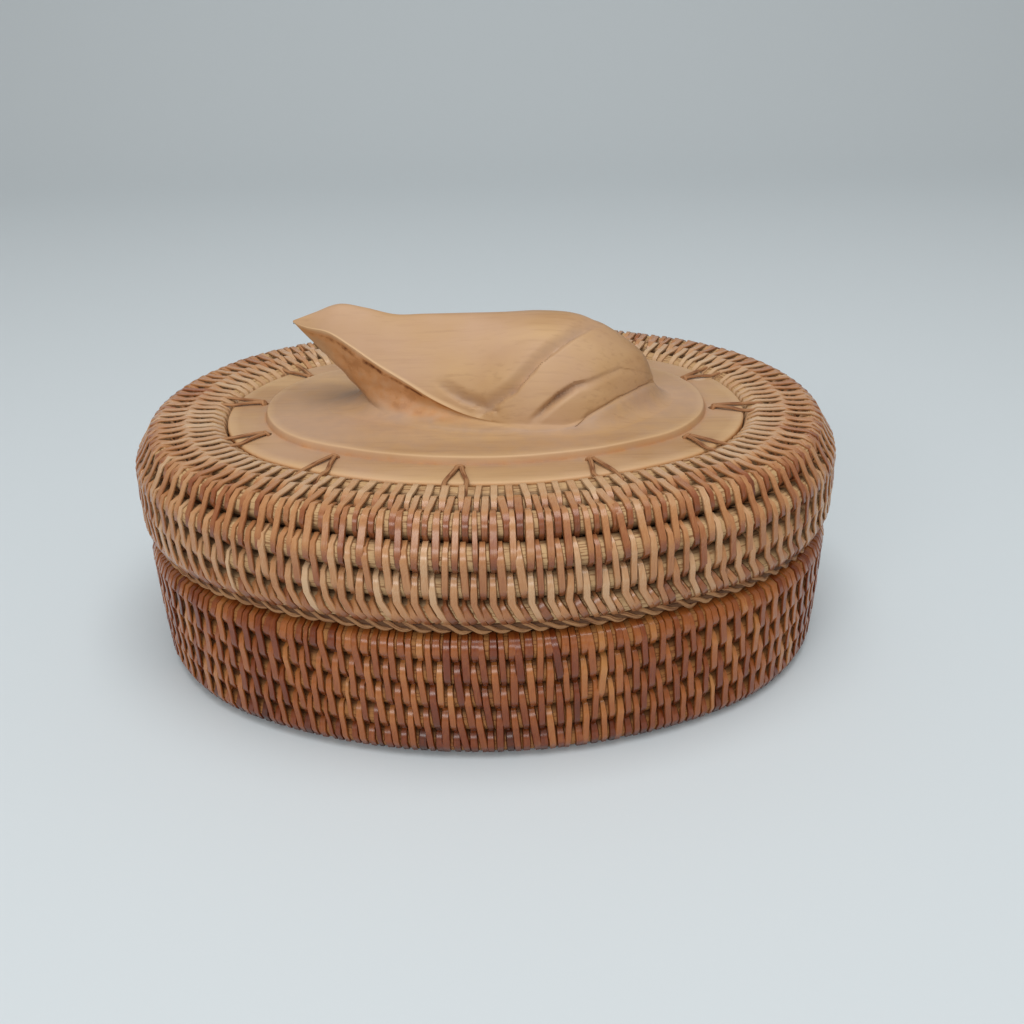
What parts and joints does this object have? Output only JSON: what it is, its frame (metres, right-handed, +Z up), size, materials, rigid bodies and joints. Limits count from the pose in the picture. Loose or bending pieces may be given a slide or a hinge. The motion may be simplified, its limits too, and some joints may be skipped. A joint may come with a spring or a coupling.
{
  "type": "lidded box",
  "caption": "Oval lidded box of coiled, stitched rattan with a carved wooden panel and crouching animal figure set into the lid, which lifts off.",
  "frame": {"origin": "centre of the box's outline on the surface it stands on", "axes": "+X along the box, away from the figure's snout, +Y across it, +Z up"},
  "size_m": [0.2006, 0.1546, 0.0979],
  "materials": {
    "rattan_core": "bare straw-coloured rattan core, satin",
    "rattan_splint": "glossy reddish-brown split rattan skin",
    "rattan_braid": "glossy split rattan, braided",
    "rattan_lashing": "thin dull rattan splint",
    "rattan_strip": "flat rattan strip, satin",
    "carved_wood": "hand-carved golden tan wood, dry satin"
  },
  "bodies": {
    "base": {"base_floor": "rattan_core", "base_row_1": "rattan_core", "base_row_2": "rattan_core", "base_row_3": "rattan_core", "base_row_4": "rattan_core", "base_row_5": "rattan_core", "base_stitches_2": "rattan_splint", "base_stitches_3": "rattan_splint", "base_stitches_4": "rattan_splint", "base_stitches_5": "rattan_splint", "base_rim_wraps": "rattan_splint", "base_collar": "rattan_strip"},
    "lid": {"lid_row_a": "rattan_core", "lid_row_b": "rattan_core", "lid_row_c": "rattan_core", "lid_row_d": "rattan_core", "lid_row_e": "rattan_core", "lid_row_f": "rattan_core", "lid_stitches_b": "rattan_splint", "lid_stitches_c": "rattan_splint", "lid_stitches_d": "rattan_splint", "lid_stitches_e": "rattan_splint", "lid_stitches_f": "rattan_splint", "lid_braid": "rattan_braid", "carved_panel": "carved_wood", "lid_lashings": "rattan_lashing"}
  },
  "joints": [
    {"name": "lid_lift", "type": "slide", "parent": "base", "child": "lid", "axis": [0, 0, 1], "range_m": [0, 0.08]}
  ]
}
